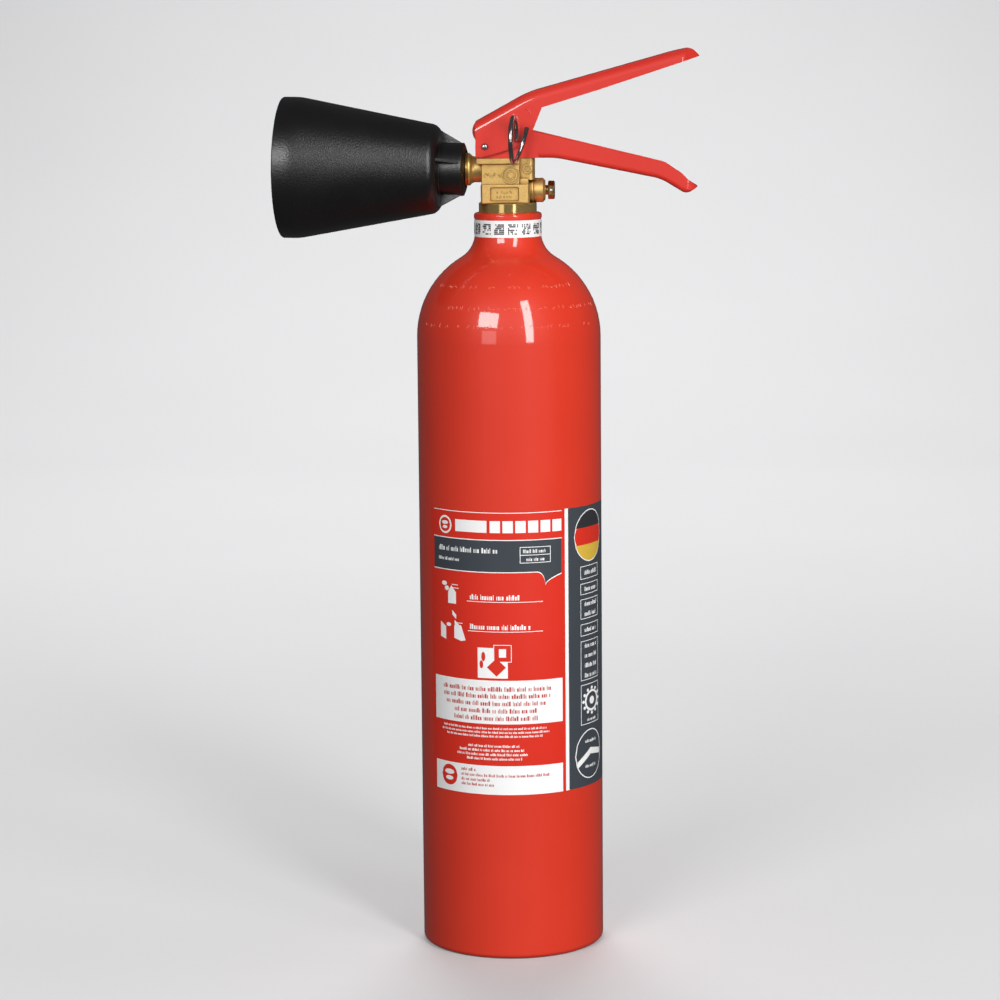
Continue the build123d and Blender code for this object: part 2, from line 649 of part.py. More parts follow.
def swivel_stub():
    """A spigot that turns in the valve's outlet, and a nose cranked off it that carries the horn."""
    spigot = [
        (-5.2, 0.0),
        (-5.2, 5.4),
        (-5.6, 5.95),
        (-6.4, 5.95),
        (-6.4, 4.5),
        (-8.4, 4.5),
        (-8.4, 5.95),
        (-8.6, 5.95),
        (-8.6, 4.9),
        (-11.4, 4.9),
        (-11.4, 5.95),
        (OUTLET_FACE - 0.2, 5.95),
        (OUTLET_FACE - 0.2, 8.8),
        (-22.3, 9.2),
        (-23.0, 9.2),
        (-23.4, 9.0),
        (-23.4, 0.0),
    ]
    nose = [
        (-22.9, 0.0),
        (-22.9, 8.5),
        (-24.4, 8.5),
        (-24.4, STUB_NOSE_R),
        (-STUB_NOSE_END + 0.6, STUB_NOSE_R),
        (-STUB_NOSE_END, STUB_NOSE_R - 0.6),
        (-STUB_NOSE_END, 0.0),
    ]
    stub = Pos(0, 0, OUTLET_Z) * turned(spigot, Axis.X) + cranked(turned(nose, Axis.X))
    stub -= rod(2.6, CRANK_X, -5, "X", (0, OUTLET_Z))
    stub -= cranked(rod(2.4, -STUB_NOSE_END, CRANK_X + 0.6, "X"))
    return stub - cranked(rod(4.5, -STUB_NOSE_END - 1, -STUB_NOSE_END + 5, "X"))


def stub_o_ring():
    return Pos(-7.4, 0, OUTLET_Z) * Rot(0, 90, 0) * Torus(5.2, 0.68)


def gas_nozzle():
    end = STUB_NOSE_END
    profile = [
        (-end + 4.9, 2.0),
        (-end + 4.9, 4.45),
        (-end, 4.45),
        (-end - 0.1, 6.2),
        (-end - 2.0, 6.2),
        (-end - 4.4, 4.4),
        (-end - 4.4, 0.9),
        (-end + 1.0, 0.9),
        (-end + 2.2, 2.0),
    ]
    return cranked(turned(profile, Axis.X))


def main():
    shell = cylinder_shell()
    nodes = {
        "cylinder_shell": shell,
        "body_label": body_label(),
        "neck_band": neck_band(shell),
        "neck_o_ring": neck_o_ring(),
        "valve_body": valve_body(),
        "gland_nut": gland_nut(),
        "gland_o_ring": gland_o_ring(),
        "spring_retainer": spring_retainer(),
        "return_spring": return_spring(),
        "dip_tube": dip_tube(),
        "tube_nut": tube_nut(),
        "burst_disc": burst_disc(),
        "burst_disc_washer": burst_disc_washer(),
        "burst_disc_plug": burst_disc_plug(),
        "swivel_set_screw": swivel_set_screw(),
        "carry_handle": carry_handle(),
        "handle_pin": handle_pin(),
        "pivot_pin": pivot_pin(),
        "squeeze_lever": squeeze_lever(),
        "lever_cam": lever_cam(),
        "safety_pin": safety_pin(),
        "valve_stem": valve_stem(),
        "stem_poppet": stem_poppet(),
        "seat_disc": seat_disc(),
        "discharge_horn": discharge_horn(),
        "swivel_stub": swivel_stub(),
        "stub_o_ring": stub_o_ring(),
        "gas_nozzle": gas_nozzle(),
    }
    os.makedirs("parts", exist_ok=True)
    for name, shape in nodes.items():
        export_step(shape, f"parts/{name}.step")
        print(name, len(shape.solids()), round(shape.volume, 1))


main()
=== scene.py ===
"""The looks of a hand-held carbon dioxide fire extinguisher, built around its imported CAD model.

Everything is in metres in the CAD frame: +Z up, the horn along -X, the grip along +X, the label on -Y.
"""

import json
import math
import random

import bmesh
import bpy
from mathutils import Matrix, Vector


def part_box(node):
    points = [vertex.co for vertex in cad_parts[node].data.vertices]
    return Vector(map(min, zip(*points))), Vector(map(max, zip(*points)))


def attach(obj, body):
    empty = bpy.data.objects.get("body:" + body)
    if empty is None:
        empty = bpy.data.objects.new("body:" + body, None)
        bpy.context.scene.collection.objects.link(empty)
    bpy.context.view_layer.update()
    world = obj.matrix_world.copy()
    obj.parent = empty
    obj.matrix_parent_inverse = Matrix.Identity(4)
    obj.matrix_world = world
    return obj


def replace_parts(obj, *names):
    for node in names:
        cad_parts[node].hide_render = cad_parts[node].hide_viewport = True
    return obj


MM = 0.001
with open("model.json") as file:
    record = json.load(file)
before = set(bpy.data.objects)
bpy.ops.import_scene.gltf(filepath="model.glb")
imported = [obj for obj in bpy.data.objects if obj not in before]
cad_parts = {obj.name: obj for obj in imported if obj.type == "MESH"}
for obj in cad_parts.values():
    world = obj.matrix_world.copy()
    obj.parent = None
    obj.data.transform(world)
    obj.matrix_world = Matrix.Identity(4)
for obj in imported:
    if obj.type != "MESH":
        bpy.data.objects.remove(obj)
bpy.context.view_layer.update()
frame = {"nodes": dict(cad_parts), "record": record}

# --- Camera ---------------------------------------------------------------------------------------

FOCAL_RATIO = 3.251
SENSOR_MM = 36.0
CAMERA_DISTANCE = 1.8
CAMERA_HEIGHT = 0.5165
CAMERA_AZIMUTH = math.radians(1.5)
CAMERA_PITCH = math.radians(8.4)
CAMERA_ROLL = math.radians(0.5)
CAMERA_LEFT = 0.0057
CAMERA_SEES = 50


def add_camera():
    """A long lens a little above the valve, turned slightly towards the grip."""
    sin_a, cos_a = math.sin(CAMERA_AZIMUTH), math.cos(CAMERA_AZIMUTH)
    level = math.cos(CAMERA_PITCH)
    right = Vector((cos_a, sin_a, 0))
    forward = Vector((-sin_a * level, cos_a * level, -math.sin(CAMERA_PITCH)))
    up = right.cross(forward)
    rolled_right = right * math.cos(CAMERA_ROLL) - up * math.sin(CAMERA_ROLL)
    rolled_up = right * math.sin(CAMERA_ROLL) + up * math.cos(CAMERA_ROLL)
    turn = Matrix((rolled_right, rolled_up, -forward)).transposed().to_4x4()
    place = Vector((sin_a * CAMERA_DISTANCE, -cos_a * CAMERA_DISTANCE, CAMERA_HEIGHT)) - right * CAMERA_LEFT
    data = bpy.data.cameras.new("camera")
    data.sensor_width = SENSOR_MM
    data.lens = FOCAL_RATIO * SENSOR_MM
    data.clip_end = CAMERA_SEES
    camera = bpy.data.objects.new("camera", data)
    camera.matrix_world = Matrix.Translation(place) @ turn
    bpy.context.scene.collection.objects.link(camera)
    bpy.context.scene.camera = camera


add_camera()

# The turned surfaces of the valve forging: its collar is below one height, its outlet beyond one X.
COLLAR_TOP = 416.65 * MM
OUTLET_FACE = -14.6 * MM

# --- Node materials -------------------------------------------------------------------------------


def node(tree, kind, inputs=(), **settings):
    """A new shader node with its properties set and its inputs set or linked."""
    made = tree.nodes.new(kind)
    for key, value in settings.items():
        setattr(made, key, value)
    for key, value in dict(inputs).items():
        socket = made.inputs[key]
        if isinstance(value, bpy.types.NodeSocket):
            tree.links.new(value, socket)
        else:
            socket.default_value = value
    return made


def math_node(tree, operation, a, b=0.0):
    return node(tree, "ShaderNodeMath", {0: a, 1: b}, operation=operation).outputs[0]


def rescale(tree, value, low, high, to_low, to_high):
    ends = {"Value": value, "From Min": low, "From Max": high, "To Min": to_low, "To Max": to_high}
    return node(tree, "ShaderNodeMapRange", ends).outputs[0]


def noise(tree, place, scale, detail=2.0, rough=0.5, stretch=None):
    if stretch:
        place = node(tree, "ShaderNodeMapping", {"Vector": place, "Scale": stretch}).outputs[0]
    return node(
        tree, "ShaderNodeTexNoise", {"Vector": place, "Scale": scale, "Detail": detail, "Roughness": rough}
    ).outputs[0]


def mix_colour(tree, factor, a, b):
    made = node(tree, "ShaderNodeMix", data_type="RGBA")
    for index, value in ((0, factor), (6, a), (7, b)):
        if isinstance(value, bpy.types.NodeSocket):
            tree.links.new(value, made.inputs[index])
        else:
            made.inputs[index].default_value = value
    return made.outputs[2]


def start_material(name):
    material = bpy.data.materials.new(name)
    material.use_nodes = True
    tree = material.node_tree
    tree.nodes.clear()
    shader = node(tree, "ShaderNodeBsdfPrincipled")
    output = node(tree, "ShaderNodeOutputMaterial")
    tree.links.new(shader.outputs[0], output.inputs[0])
    place = node(tree, "ShaderNodeTexCoord").outputs["Object"]
    return material, tree, shader, place


def bump(tree, shader, layers):
    """Chains bump nodes; each layer is (height, strength, distance in metres)."""
    normal = None
    for height, strength, distance in layers:
        inputs = {"Height": height, "Strength": strength, "Distance": distance}
        if normal:
            inputs["Normal"] = normal
        normal = node(tree, "ShaderNodeBump", inputs).outputs[0]
    tree.links.new(normal, shader.inputs["Normal"])


def colour(red, green, blue):
    return (red, green, blue, 1.0)


def coated(name, low, high, roughness, peel_scale, peel, coat=0.0):
    """Powder coat, film or print: slight cloudiness, orange peel, an uneven gloss and a clear coat."""
    material, tree, shader, place = start_material(name)
    cloud = noise(tree, place, 9.0, 3.0, 0.55)
    tree.links.new(
        mix_colour(tree, rescale(tree, cloud, 0.3, 0.7, 0.0, 1.0), low, high), shader.inputs["Base Color"]
    )
    smear = noise(tree, place, 35.0, 4.0, 0.6)
    tree.links.new(
        rescale(tree, smear, 0.3, 0.75, roughness - 0.03, roughness + 0.05), shader.inputs["Roughness"]
    )
    shader.inputs["Specular IOR Level"].default_value = 0.35
    shader.inputs["Coat Weight"].default_value = coat
    shader.inputs["Coat IOR"].default_value = 1.7
    shader.inputs["Coat Roughness"].default_value = 0.06
    bump(tree, shader, [
        (noise(tree, place, peel_scale, 2.0, 0.5), peel, 0.0006),
        (noise(tree, place, 14.0, 1.0, 0.5), 0.05, 0.002),
    ])
    return material


def turned_metal(name, low, high, roughness, lines, stretch):
    """Machined metal: fine tool lines across one axis, with faint smears."""
    material, tree, shader, place = start_material(name)
    tool = noise(tree, place, lines, 3.0, 0.6, stretch)
    smear = noise(tree, place, 150.0, 4.0, 0.6)
    tree.links.new(
        mix_colour(tree, rescale(tree, smear, 0.35, 0.7, 0.0, 1.0), low, high), shader.inputs["Base Color"]
    )
    shader.inputs["Metallic"].default_value = 1.0
    tree.links.new(
        rescale(tree, smear, 0.3, 0.7, roughness - 0.04, roughness + 0.08), shader.inputs["Roughness"]
    )
    bump(tree, shader, [(tool, 0.05, 0.0003)])
    return material


def grained_plastic(name, low, high, roughness, grain_scale, grain, specular):
    """Moulded plastic or rubber with a fine eroded grain and rubbed patches."""
    material, tree, shader, place = start_material(name)
    cells = node(
        tree, "ShaderNodeTexVoronoi", {"Vector": place, "Scale": grain_scale}, feature="SMOOTH_F1"
    ).outputs[0]
    fine = noise(tree, place, grain_scale * 1.7, 3.0, 0.6)
    rub = noise(tree, place, 25.0, 4.0, 0.6)
    tree.links.new(
        mix_colour(tree, rescale(tree, rub, 0.3, 0.75, 0.0, 1.0), low, high), shader.inputs["Base Color"]
    )
    tree.links.new(
        rescale(tree, rub, 0.3, 0.75, roughness - 0.04, roughness + 0.05), shader.inputs["Roughness"]
    )
    shader.inputs["Specular IOR Level"].default_value = specular
    bump(tree, shader, [(cells, grain, 0.0004), (fine, grain * 0.7, 0.0003)])
    return material


def forged_brass():
    """Blasted forging, stained, with painted shade darkening its creases, with a polished collar and a
    turned outlet.
    """
    material, tree, shader, place = start_material("forged_brass")
    grains = noise(tree, place, 1500.0, 4.0, 0.6)
    stain = noise(tree, place, 120.0, 5.0, 0.62)
    axes = node(tree, "ShaderNodeSeparateXYZ", {0: place}).outputs
    collar = math_node(tree, "LESS_THAN", axes["Z"], COLLAR_TOP)
    outlet = math_node(tree, "LESS_THAN", axes["X"], OUTLET_FACE)
    machined = math_node(tree, "MAXIMUM", collar, outlet)
    grainy = rescale(tree, grains, 0.35, 0.65, 0.0, 1.0)
    stained = rescale(tree, stain, 0.52, 0.75, 0.0, 0.3)
    # Painted shade: ambient occlusion darkens the brass colour towards a dark brown in creases, pockets and
    # corners.
    crease_occlusion = node(tree, "ShaderNodeAmbientOcclusion", {"Distance": 0.0022}, samples=6).outputs["AO"]
    painted_shade_mask = rescale(tree, crease_occlusion, 0.35, 0.95, 0.0, 1.0)
    blasted = mix_colour(tree, grainy, colour(0.86, 0.54, 0.17), colour(0.97, 0.66, 0.25))
    blasted = mix_colour(tree, stained, blasted, colour(0.52, 0.30, 0.09))
    blasted = mix_colour(tree, painted_shade_mask, colour(0.22, 0.11, 0.035), blasted)
    base = mix_colour(tree, machined, blasted, colour(0.92, 0.64, 0.24))
    tree.links.new(base, shader.inputs["Base Color"])
    shader.inputs["Metallic"].default_value = 0.88
    dull = rescale(tree, stain, 0.3, 0.7, 0.42, 0.52)
    turned = rescale(tree, collar, 0.0, 1.0, 0.36, 0.12)
    tree.links.new(rescale(tree, machined, 0.0, 1.0, dull, turned), shader.inputs["Roughness"])
    relief = math_node(tree, "MULTIPLY", grains, rescale(tree, machined, 0.0, 1.0, 1.0, 0.0))
    bump(tree, shader, [(relief, 0.22, 0.0003)])
    return material


COATED = {
    # name: low colour, high colour, roughness, peel scale, peel strength, clear coat
    "cylinder_paint": ((0.70, 0.036, 0.014), (0.76, 0.042, 0.017), 0.46, 420.0, 0.015, 0.9),
    "grip_paint": ((0.66, 0.030, 0.018), (0.72, 0.035, 0.021), 0.46, 520.0, 0.02, 0.9),
    # The stampings' paint is lighter and pinker than the cylinder paint: a painted highlight on the stamps'
    # edges.
    "stamp_highlight_paint": ((0.80, 0.13, 0.085), (0.86, 0.19, 0.13), 0.26, 520.0, 0.05, 0.5),
    "label_film": ((0.70, 0.032, 0.017), (0.74, 0.036, 0.019), 0.34, 900.0, 0.015, 0.0),
    "band_film": ((0.95, 0.95, 0.95), (0.98, 0.98, 0.98), 0.34, 900.0, 0.015, 0.3),
    "print_white": ((0.97, 0.965, 0.96), (0.99, 0.985, 0.98), 0.36, 900.0, 0.015, 0.0),
    "print_grey": ((0.052, 0.061, 0.073), (0.060, 0.070, 0.083), 0.30, 900.0, 0.015, 0.0),
    "print_red": ((0.50, 0.045, 0.035), (0.56, 0.052, 0.040), 0.36, 900.0, 0.015, 0.0),
    "print_black": ((0.028, 0.028, 0.032), (0.040, 0.040, 0.045), 0.36, 900.0, 0.015, 0.0),
    "print_yellow": ((0.72, 0.46, 0.05), (0.78, 0.51, 0.07), 0.36, 900.0, 0.015, 0.0),
}
PLASTIC = {
    # name: low colour, high colour, roughness, grain scale, grain strength, specular level
    "seal_rubber": ((0.012, 0.012, 0.012), (0.020, 0.020, 0.020), 0.60, 3000.0, 0.10, 0.5),
    "nylon": ((0.72, 0.70, 0.62), (0.80, 0.78, 0.72), 0.45, 2500.0, 0.08, 0.5),
    "horn_plastic": ((0.0030, 0.0030, 0.0034), (0.0050, 0.0050, 0.0056), 0.34, 1300.0, 0.22, 0.85),
}
TURNED = {
    # name: low colour, high colour, roughness, line scale, line direction
    "turned_brass": ((0.70, 0.45, 0.15), (0.82, 0.57, 0.24), 0.27, 900.0, (8.0, 1.0, 1.0)),
    "spring_steel": ((0.42, 0.43, 0.45), (0.52, 0.53, 0.55), 0.32, 900.0, (1.0, 1.0, 4.0)),
    "stainless": ((0.55, 0.55, 0.56), (0.66, 0.66, 0.67), 0.26, 900.0, (1.0, 1.0, 8.0)),
    "tube_aluminium": ((0.74, 0.75, 0.76), (0.82, 0.83, 0.84), 0.30, 700.0, (8.0, 8.0, 1.0)),
    "pin_steel": ((0.42, 0.42, 0.43), (0.58, 0.58, 0.59), 0.19, 1100.0, (1.0, 4.0, 1.0)),
}


def make_materials():
    """One procedural material for each of the record's slots, and for the print."""
    made = {"forged_brass": forged_brass()}
    for name, (low, high, *rest) in COATED.items():
        made[name] = coated(name, colour(*low), colour(*high), *rest)
    for name, (low, high, *rest) in PLASTIC.items():
        made[name] = grained_plastic(name, colour(*low), colour(*high), *rest)
    for name, (low, high, *rest) in TURNED.items():
        made[name] = turned_metal(name, colour(*low), colour(*high), *rest)
    return made


materials = make_materials()


def dress_nodes():
    """Gives every CAD node the procedural material of its slot."""
    for part in frame["record"]["subparts"]:
        shown = frame["nodes"][part["node"]]
        for index in range(len(shown.material_slots)):
            shown.material_slots[index].material = materials[part["material_slot"]]


dress_nodes()

# --- Detail pieces, in millimetres and in degrees round the Z axis from -Y towards +X --------------

BARREL_R = 51.0
FILM_STEP_DEG = 1.5
CURVED_EDGE_STEPS = 14
LAYER_MM = 0.026
LAYER_THICK = LAYER_MM * 0.9
FILM_BASE_R = BARREL_R + 0.035
BORDER_DEG = 0.42
BORDER_MM = 0.36
THIN_EDGE = 0.01
DRAWN = random.Random(650)


def finish_piece(name, mesh_data, ink, body="extinguisher", smooth=False):
    """Makes one piece from a bmesh in millimetres, with outward normals, and rides it on a body."""
    bmesh.ops.recalc_face_normals(mesh_data, faces=mesh_data.faces)
    bmesh.ops.scale(mesh_data, vec=(MM, MM, MM), verts=mesh_data.verts)
    mesh = bpy.data.meshes.new(name)
    mesh_data.to_mesh(mesh)
    mesh_data.free()
    if smooth:
        mesh.shade_smooth()
    piece = bpy.data.objects.new(name, mesh)
    bpy.context.scene.collection.objects.link(piece)
    mesh.materials.append(materials[ink])
    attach(piece, body)
    return piece


def curved_patch(mesh_data, radius, depth, start, end, low, high):
    """A closed thin patch inwards from a radius, between two angles.

    Its lower and upper edges are heights, or functions of the angle.
    """
    count = max(1, math.ceil((end - start) / FILM_STEP_DEG))
    if callable(low) or callable(high):
        count = max(count, CURVED_EDGE_STEPS)
    columns = []
    for index in range(count + 1):
        angle = start + (end - start) * index / count
        bottom = low(angle) if callable(low) else low
        top = high(angle) if callable(high) else high
        turn = math.radians(angle)
        inner = radius - depth
        columns.append([
            mesh_data.verts.new((reach * math.sin(turn), -reach * math.cos(turn), z))
            for reach, z in ((radius, bottom), (radius, top), (inner, top), (inner, bottom))
        ])
    for one, two in zip(columns, columns[1:]):
        for side in range(4):
            after = (side + 1) % 4
            mesh_data.faces.new((one[side], two[side], two[after], one[after]))
    mesh_data.faces.new(columns[0])
    mesh_data.faces.new(columns[-1][::-1])


def oval(centre, z, half_width, half_height):
    """A patch outline with elliptical edges."""
    def rise(angle):
        share = (angle - centre) / half_width
        return half_height * math.sqrt(max(0.0, 1 - share ** 2)) + THIN_EDGE

    return (
        centre - half_width,
        centre + half_width,
        lambda angle: z - rise(angle),
        lambda angle: z + rise(angle),
    )


def oval_slice(shape, low, high):
    """The part of an oval between two heights."""
    centre, z, half_width, half_height = shape
    nearest = 0.0 if low < z < high else min(abs(low - z), abs(high - z))
    reach = half_width * math.sqrt(max(0.0, 1 - (nearest / half_height) ** 2)) * 0.995
    _, _, bottom, top = oval(*shape)
    return (
        centre - reach,
        centre + reach,
        lambda angle: min(max(low, bottom(angle)), high - THIN_EDGE),
        lambda angle: max(min(high, top(angle)), low + THIN_EDGE),
    )


def slanted(start, end, low_a, low_b, high_a, high_b):
    """A patch outline with straight sloping edges."""
    def line(a, b):
        return lambda angle: a + (b - a) * (angle - start) / (end - start)

    return start, end, line(low_a, low_b), line(high_a, high_b)


def outline_box(start, end, low, high):
    """The four thin sides of a box."""
    return [
        (start, end, low, low + BORDER_MM),
        (start, end, high - BORDER_MM, high),
        (start, start + BORDER_DEG, low + BORDER_MM, high - BORDER_MM),
        (end - BORDER_DEG, end, low + BORDER_MM, high - BORDER_MM),
    ]


def filler_row(start, end, z, height):
    """A row of plain blocks in groups, where print would be: it spells nothing."""
    row = []
    angle = start
    while angle < end - 0.6:
        for _ in range(DRAWN.randint(3, 8)):
            width = (DRAWN.uniform(0.16, 0.42) if DRAWN.random() < 0.7 else 0.62) * height / 1.6
            if angle + width > end:
                break
            tall = height * (0.95 if DRAWN.random() < 0.3 else 0.68)
            row.append((angle, angle + width, z, z + tall))
            angle += width + 0.24 * height / 1.6
        angle += 0.4 * height
    return row


# The grey band across the label, and the pointed tail under its right end.
BAND_LOW = 218.3
BAND_HIGH = 235.6
TAIL_START = 17.5
TAIL_TIP = 23.1
TAIL_END = 34.3
TAIL_DROP = 7.3
TAIL_END_DROP = 1.7
EDGING_MM = 0.5
TAIL_EDGING_MM = 0.6


def band_edge(angle):
    """The lower edge of the grey band, with a pointed tail near its right end."""
    if angle < TAIL_START:
        return BAND_LOW
    if angle < TAIL_TIP:
        share = (angle - TAIL_START) / (TAIL_TIP - TAIL_START)
        return BAND_LOW - TAIL_DROP * (1 - math.sqrt(1 - share ** 2))
    share = (angle - TAIL_TIP) / (TAIL_END - TAIL_TIP)
    return BAND_LOW - TAIL_DROP + (TAIL_DROP - TAIL_END_DROP) * share**0.55


def tail_edging(angle):
    """The white line's lower edge under the tail."""
    return band_edge(angle) - TAIL_EDGING_MM


# The label's outline, its red field on the left and its grey stripe on the right.
FILM_LEFT = -57.5
FILM_LOW = 93.7
FILM_HIGH = 251.7
PRINT_LOW = 93.75
PRINT_HIGH = 251.65
LEFT = -54.0
RIGHT = 34.6
LINE_LEFT = 36.9
STRIPE_LEFT = 39.5
STRIPE_RIGHT = 87.0
BADGE_LEFT = 50.0
BADGE_RIGHT = 71.8
PANEL_LEFT = -32.2


def label_layers():
    """The label's print, as (layer, ink, outlines), all generic."""
    grey = [
        (LEFT, TAIL_START, BAND_LOW, BAND_HIGH),
        (TAIL_START, TAIL_TIP, band_edge, BAND_HIGH),
        (TAIL_TIP, TAIL_END, band_edge, BAND_HIGH),
        (STRIPE_LEFT, STRIPE_RIGHT, PRINT_LOW, PRINT_HIGH),
    ]
    edging = [
        (LEFT, RIGHT, 250.7, 251.1),
        (LEFT, RIGHT, BAND_HIGH, BAND_HIGH + EDGING_MM),
        (LEFT, TAIL_START, BAND_LOW - EDGING_MM, BAND_LOW),
        (TAIL_START, TAIL_TIP, tail_edging, band_edge),
        (TAIL_TIP, TAIL_END, tail_edging, band_edge),
        (LINE_LEFT, STRIPE_LEFT, PRINT_LOW, PRINT_HIGH),
        (LEFT, RIGHT, 133.5, 157.9),
        (LEFT, RIGHT, PRINT_LOW, 110.0),
    ]
    heading = [oval(-43.3, 243.0, 5.5, 5.0), (-35.0, -13.5, 239.9, 246.5)]
    heading += [(start, start + 6.4, 239.9, 246.5) for start in (-11.5, -3.6, 4.3, 12.2, 20.1, 28.0)]
    bottles = [
        (-41.3, -35.0, 199.3, 205.6),
        slanted(-41.3, -38.6, 205.6, 205.6, 205.7, 209.3),
        slanted(-38.6, -35.0, 205.6, 205.6, 209.3, 205.7),
        oval(-44.4, 210.2, 2.2, 1.2),
        oval(-42.3, 207.6, 1.8, 1.3),
        (-38.2, -33.6, 209.7, 210.1),
        (-37.4, -32.8, 207.9, 208.3),
        slanted(-36.6, -31.4, 180.2, 178.9, 187.2, 187.6),
        slanted(-31.4, -28.3, 178.9, 179.4, 187.6, 179.9),
        slanted(-36.2, -33.0, 187.0, 187.3, 190.2, 187.8),
        slanted(-38.0, -35.0, 193.2, 190.8, 195.6, 193.2),
        slanted(-48.1, -43.4, 180.0, 179.0, 188.6, 186.0),
        oval(-41.0, 187.4, 1.9, 1.0),
        (-36.4, -30.2, 188.6, 189.0),
    ]
    square = [(-20.0, -1.0, 159.2, 176.1)] + outline_box(-9.8, 1.4, 168.2, 177.9)
    rules = [(-27.0, 21.4, 201.4, 201.75), (-26.4, 21.3, 184.9, 185.25)]
    words = (
        filler_row(-49.0, -6.8, 228.6, 3.0) + filler_row(-49.2, -32.3, 223.3, 1.9)
        + filler_row(-24.8, 8.2, 202.7, 3.0) + filler_row(-25.0, 13.6, 186.2, 3.0)
        + outline_box(6.9, 26.7, 223.1, 232.1) + [(6.9, 26.7, 227.4, 227.75)]
        + filler_row(9.0, 24.6, 228.7, 2.1) + filler_row(11.0, 22.8, 224.2, 2.1)
        + filler_row(-46.0, 23.5, 130.4, 1.3) + filler_row(-47.4, 25.2, 128.2, 1.3)
        + filler_row(-43.4, 20.6, 126.0, 1.3)
        + filler_row(-27.0, 6.0, 120.4, 1.5) + filler_row(-33.2, 9.0, 118.0, 1.5)
        + filler_row(-35.1, 12.0, 115.6, 1.5) + filler_row(-28.0, 8.0, 113.2, 1.5)
    )
    badges = []
    for low, high, rows in (
        (210.8, 218.1, 1), (202.1, 208.4, 1), (188.4, 199.6, 2),
        (178.9, 185.6, 1), (153.8, 176.1, 4), (128.7, 151.4, 0),
    ):
        badges += outline_box(BADGE_LEFT, BADGE_RIGHT, low, high)
        for row in range(rows):
            badges += filler_row(54.0, 69.0, low + (row + 0.5) * (high - low) / rows - 1.3, 2.6)
    badge = (60.6, 234.8, 15.6, 14.0)
    badges += [oval(60.6, 234.8, 16.2, 14.6), oval(60.0, 111.6, 15.6, 14.0), oval(62.0, 141.6, 8.4, 6.0)]
    for tooth in range(12):
        turn = math.radians(30 * tooth)
        badges.append(oval(62.0 + 9.6 * math.cos(turn), 141.6 + 7.1 * math.sin(turn), 1.3, 0.9))
    badges += filler_row(56.5, 67.5, 130.3, 1.8)
    seal = [oval(-41.7, 102.7, 6.5, 5.8)]
    fine_print = (
        filler_row(-46.0, 27.0, 151.8, 2.7) + filler_row(-45.6, 26.2, 147.8, 2.7)
        + filler_row(-43.4, 23.2, 143.7, 2.7)
        + filler_row(-36.8, 17.4, 139.6, 2.7) + filler_row(-37.2, 17.8, 135.4, 2.7)
        + filler_row(PANEL_LEFT, -21.6, 106.4, 1.9) + filler_row(PANEL_LEFT, 24.7, 103.6, 1.7)
        + filler_row(PANEL_LEFT, -12.3, 100.9, 1.7) + filler_row(PANEL_LEFT, -10.0, 98.3, 1.7)
    )
    return [
        (1, "print_grey", grey),
        (1, "print_white", edging + heading + bottles + square[:1] + rules),
        (2, "print_white", words + badges + square[1:]),
        (2, "print_red", fine_print),
        (2, "label_film", seal + [(-9.4, 1.0, 168.55, 177.55)]),
        (3, "label_film", [
            slanted(-14.0, -8.0, 165.2, 160.2, 165.3, 170.4),
            slanted(-8.0, -2.2, 160.2, 165.2, 170.4, 165.3),
            oval(-16.3, 171.2, 1.3, 2.6), oval(-17.6, 166.8, 1.2, 2.2),
            oval_slice(badge, 230.0, 239.6), oval(-43.3, 243.0, 4.3, 3.9),
        ]),
        (3, "print_grey", [oval(60.0, 111.6, 14.8, 13.4), oval(62.0, 141.6, 6.6, 4.7)]),
        (3, "print_black", [oval_slice(badge, 239.6, 248.8)]),
        (3, "print_yellow", [oval_slice(badge, 220.8, 230.0)]),
        (4, "print_white", [
            (-6.4, -2.0, 170.9, 175.6), oval(-43.3, 244.1, 2.6, 1.0), oval(-43.3, 241.6, 2.0, 0.9),
            oval(-41.7, 104.4, 4.0, 1.4), oval(-41.7, 100.9, 3.2, 1.2),
            slanted(46.4, 60.0, 104.6, 111.4, 108.2, 115.0),
            slanted(60.0, 73.4, 111.4, 109.6, 115.0, 112.8),
            oval(62.0, 141.6, 3.0, 2.2),
        ] + filler_row(54.0, 67.0, 104.0, 1.8) + filler_row(54.0, 67.0, 118.2, 1.8)),
    ]


def add_label():
    """The red film and its print, in thin layers between the barrel and the CAD film's outside."""
    film = bmesh.new()
    curved_patch(film, FILM_BASE_R, FILM_BASE_R - BARREL_R, FILM_LEFT, STRIPE_RIGHT, FILM_LOW, FILM_HIGH)
    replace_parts(finish_piece("label_base", film, "label_film"), "body_label")
    for layer, ink, outlines in label_layers():
        prints = bmesh.new()
        for outline in outlines:
            curved_patch(prints, FILM_BASE_R + LAYER_MM * layer, LAYER_THICK, *outline)
        finish_piece("label_layer_%d_%s" % (layer, ink), prints, ink)


BAND_PRINT_R = 18.66
BAND_PRINT_THICK = 0.03
BAND_MARKS = 15
BAND_START_DEG = -70.5
BAND_PITCH_DEG = 24.0
BAND_MARK_DEG = 17.5
BAND_MARK_MM = 6.0
BAND_COLUMNS = 8
BAND_ROWS = 6
BAND_FILLED = 0.68


def add_band_marks():
    """Blocky code marks all round the neck band, each a random grid of cells."""
    low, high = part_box("neck_band")
    middle = (low[2] + high[2]) / 2 / MM
    wide, tall = BAND_MARK_DEG / BAND_COLUMNS, BAND_MARK_MM / BAND_ROWS
    marks = bmesh.new()
    for number in range(BAND_MARKS):
        start = BAND_START_DEG + number * BAND_PITCH_DEG
        for column in range(BAND_COLUMNS):
            for row in range(BAND_ROWS):
                if DRAWN.random() < BAND_FILLED:
                    left = start + column * wide
                    bottom = middle - BAND_MARK_MM / 2 + row * tall
                    curved_patch(
                        marks, BAND_PRINT_R, BAND_PRINT_THICK,
                        left, left + wide * 0.86, bottom, bottom + tall * 0.84,
                    )
    finish_piece("band_marks", marks, "print_black")


STROKE_SUNK = 0.12
STROKE_BEVEL = 0.12
GLYPH_STROKE = 0.36


